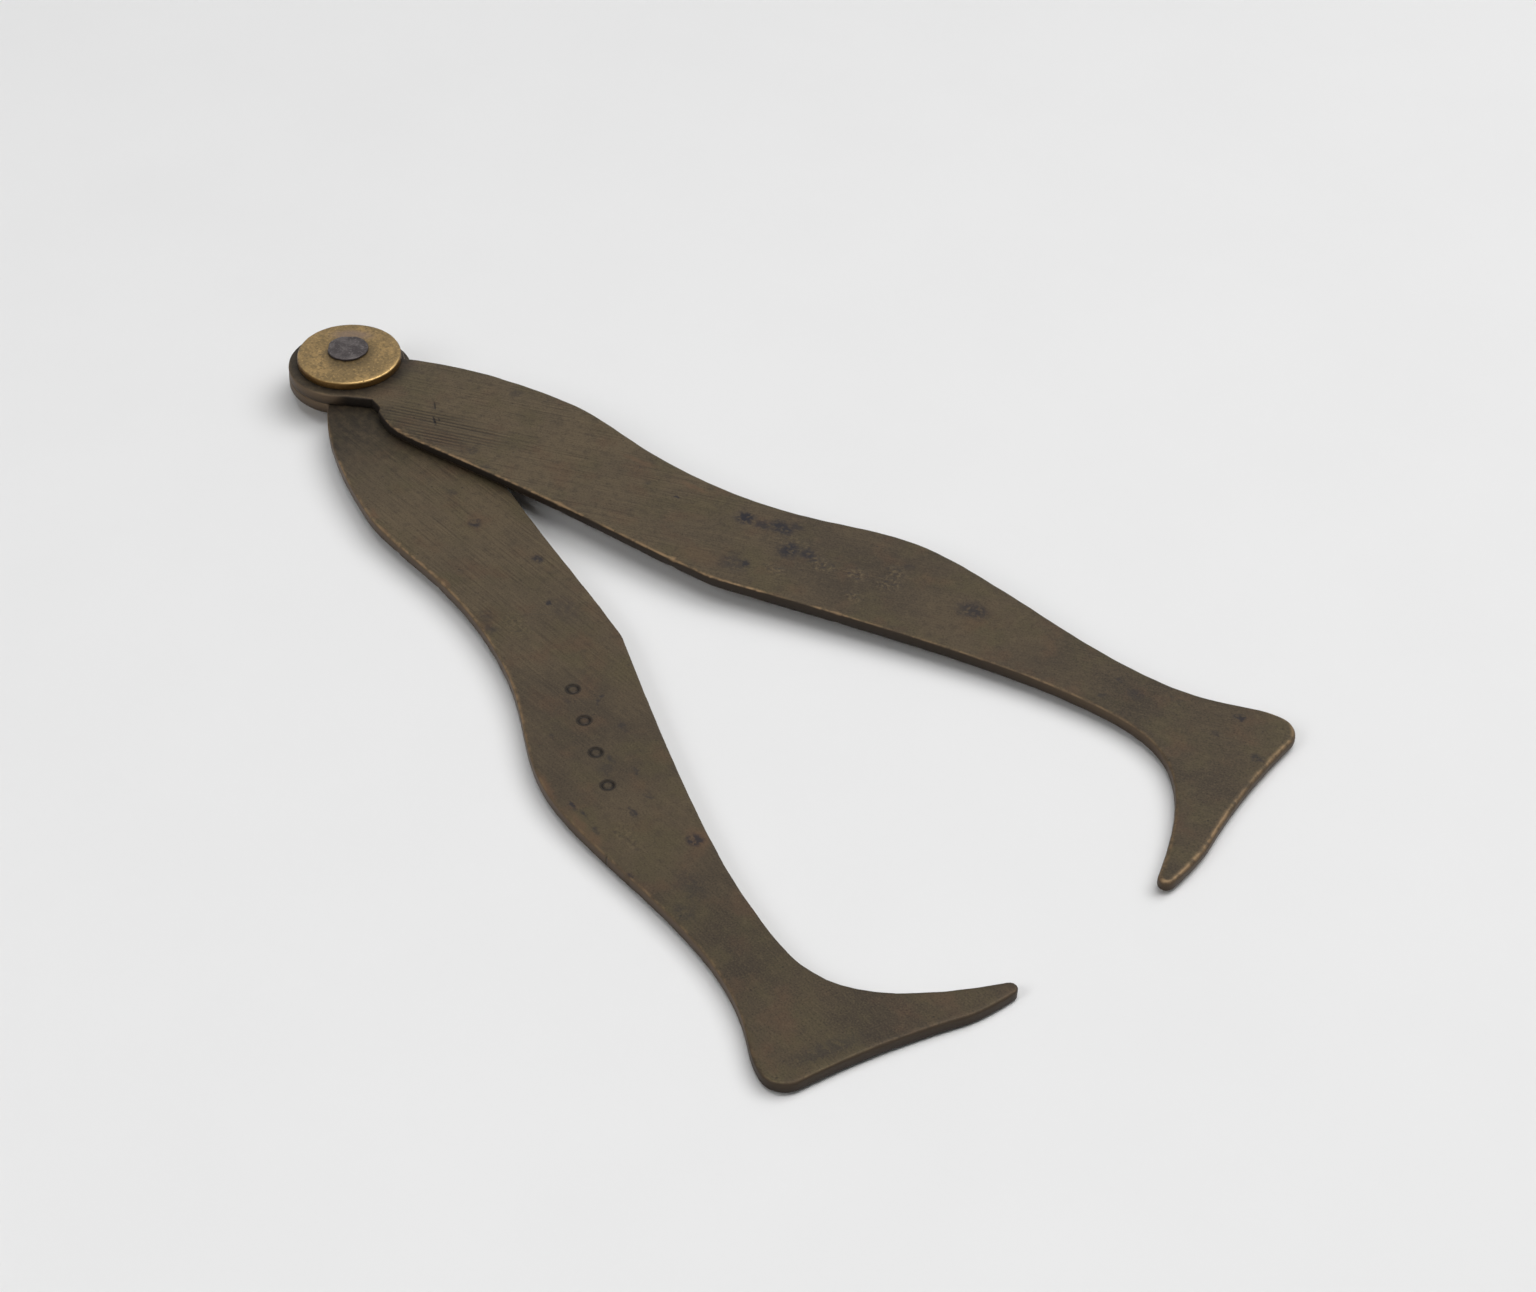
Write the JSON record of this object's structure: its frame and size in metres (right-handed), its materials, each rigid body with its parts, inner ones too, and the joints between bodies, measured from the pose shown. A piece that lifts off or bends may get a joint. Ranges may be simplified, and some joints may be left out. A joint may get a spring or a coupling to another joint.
{
  "type": "caliper",
  "caption": "Flat leg-shaped caliper: two bent leg plates with toes turned in swing on a peened rivet between round washers, to span a thickness or, crossed over, a bore.",
  "frame": {"origin": "on the pivot axis, at the underside of the rivet's bottom head", "axes": "+Z along the pivot axis, from the bottom head to the top head; +X from the pivot to the feet, halving the angle between the legs; +Y towards the upper leg's side"},
  "size_m": [0.1096, 0.0614, 0.0047],
  "materials": {
    "dark_bronze": "aged brown patina with file marks",
    "bronze": "aged brown patina with file marks",
    "worn_brass": "worn and pitted",
    "iron": "rough hammered iron"
  },
  "bodies": {
    "lower": {"lower_leg": "dark_bronze", "bottom_washer": "worn_brass", "top_washer": "worn_brass", "rivet": "iron"},
    "upper": {"upper_leg": "bronze"}
  },
  "joints": [
    {"name": "hip_pivot", "type": "hinge", "parent": "lower", "child": "upper", "pos_m": [0, 0, 0.00297], "axis": [0, 0, 1], "continuous": true}
  ]
}
